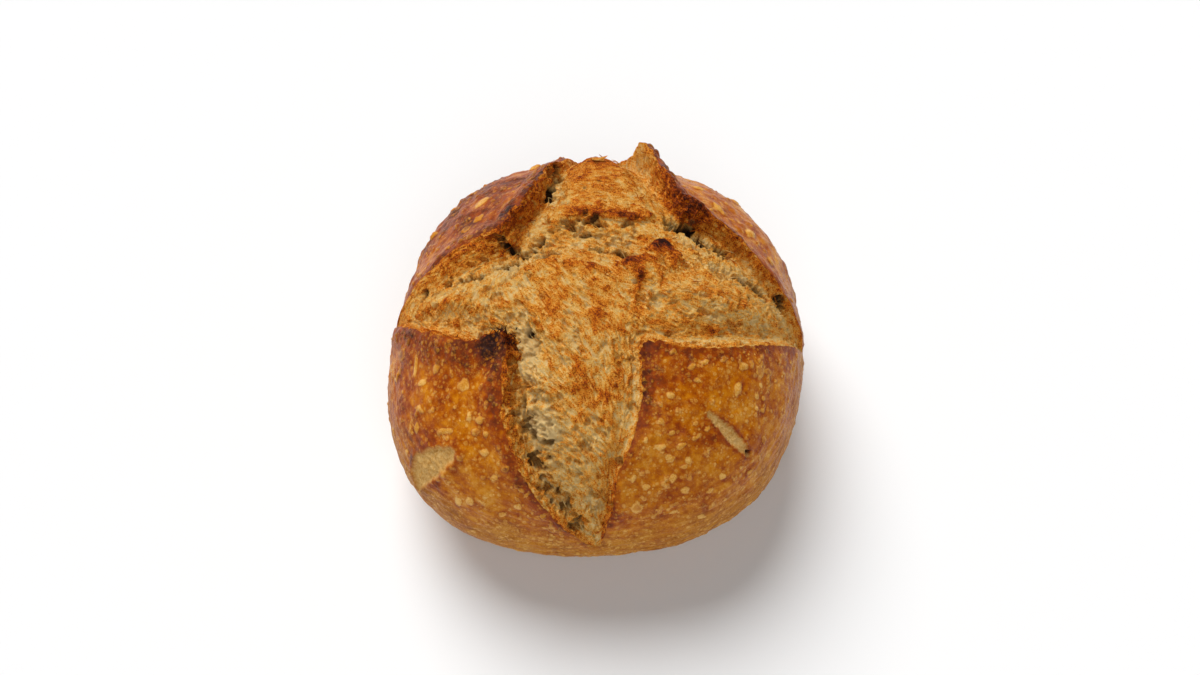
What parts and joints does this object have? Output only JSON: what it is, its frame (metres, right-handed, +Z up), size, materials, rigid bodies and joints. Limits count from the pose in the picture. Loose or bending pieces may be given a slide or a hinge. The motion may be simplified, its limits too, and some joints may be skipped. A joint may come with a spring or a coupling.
{
  "type": "sourdough loaf",
  "caption": "Round sourdough loaf slashed crosswise, its crust curled up at the rims of a cross of torn crumb.",
  "frame": {"origin": "middle of the flat base that the loaf stands on", "axes": "+Z up, -Y towards the front, where the slash that runs down the loaf's front ends"},
  "size_m": [0.2183, 0.2228, 0.1356],
  "materials": {
    "crust": "baked crust, satin golden brown with torn matt crumb along the slashes"
  },
  "bodies": {
    "root": {"loaf": "crust"}
  },
  "joints": []
}
